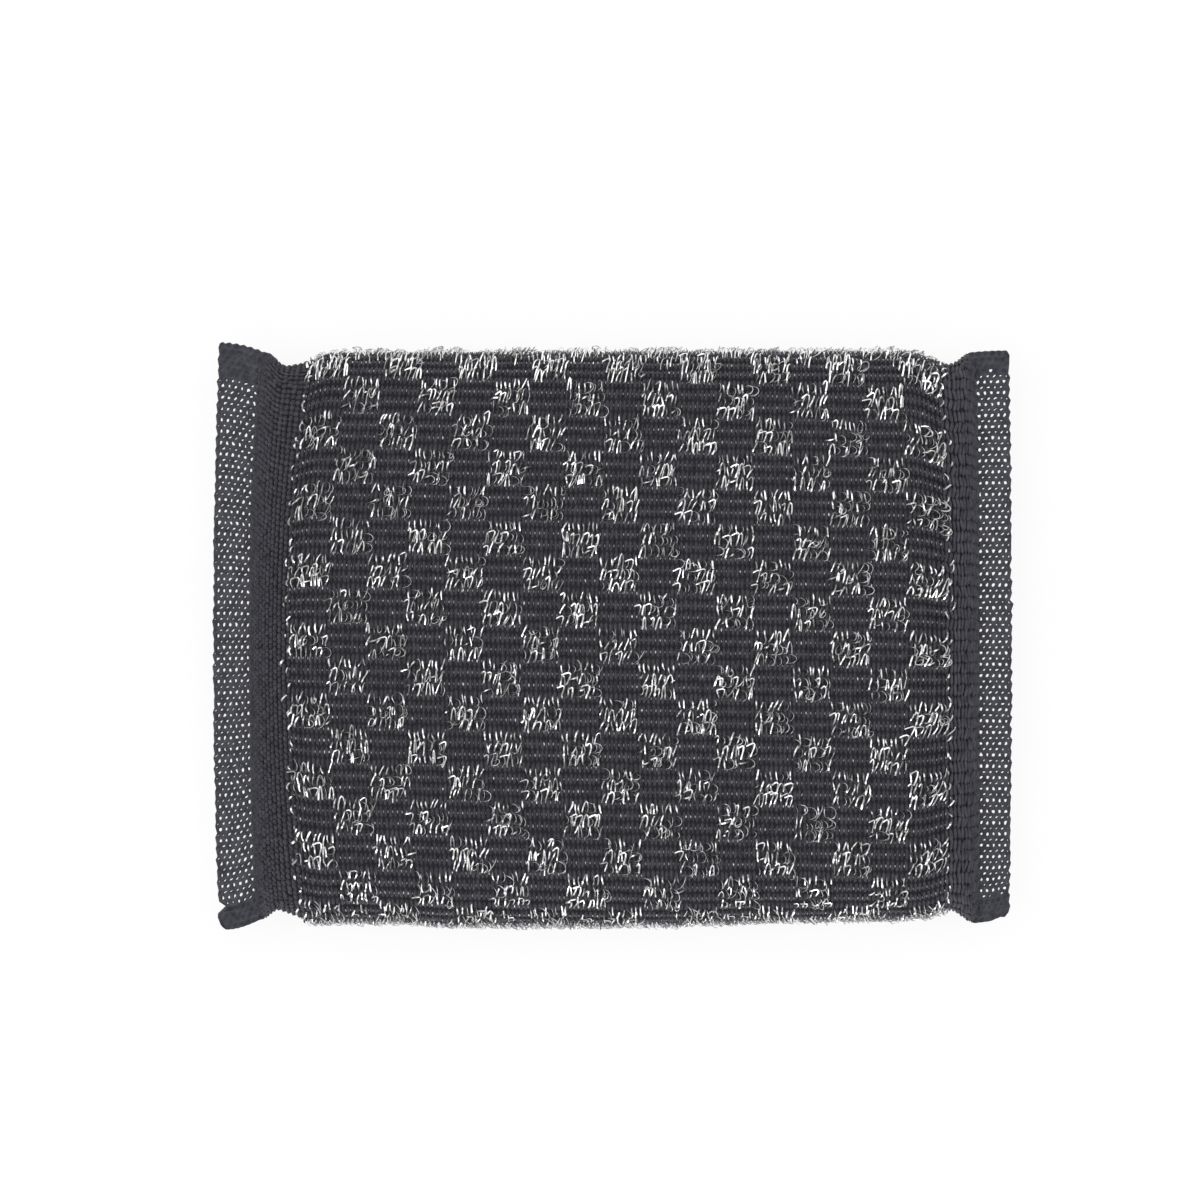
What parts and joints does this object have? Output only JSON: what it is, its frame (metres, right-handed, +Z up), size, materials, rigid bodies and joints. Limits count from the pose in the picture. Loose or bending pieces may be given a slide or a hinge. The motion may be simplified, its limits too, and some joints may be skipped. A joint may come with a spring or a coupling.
{
  "type": "steel wool pad",
  "caption": "Double-faced scouring pad: a stuffed black woven sleeve, hemmed flat at both ends, with a checker of steel wire loops all round.",
  "frame": {"origin": "centre of the pad's footprint, on the surface that it lies on", "axes": "+X along the ribs from the wide hem to the narrow hem, +Y across the pad towards one fold of the sleeve, +Z up through its thickness"},
  "size_m": [0.12, 0.088, 0.0184],
  "materials": {
    "black_weave": "matt woven polyester yarn, charcoal black",
    "steel_wire": "bright flattened steel wire in loops"
  },
  "bodies": {
    "root": {"scouring_pad": "black_weave"}
  },
  "joints": []
}
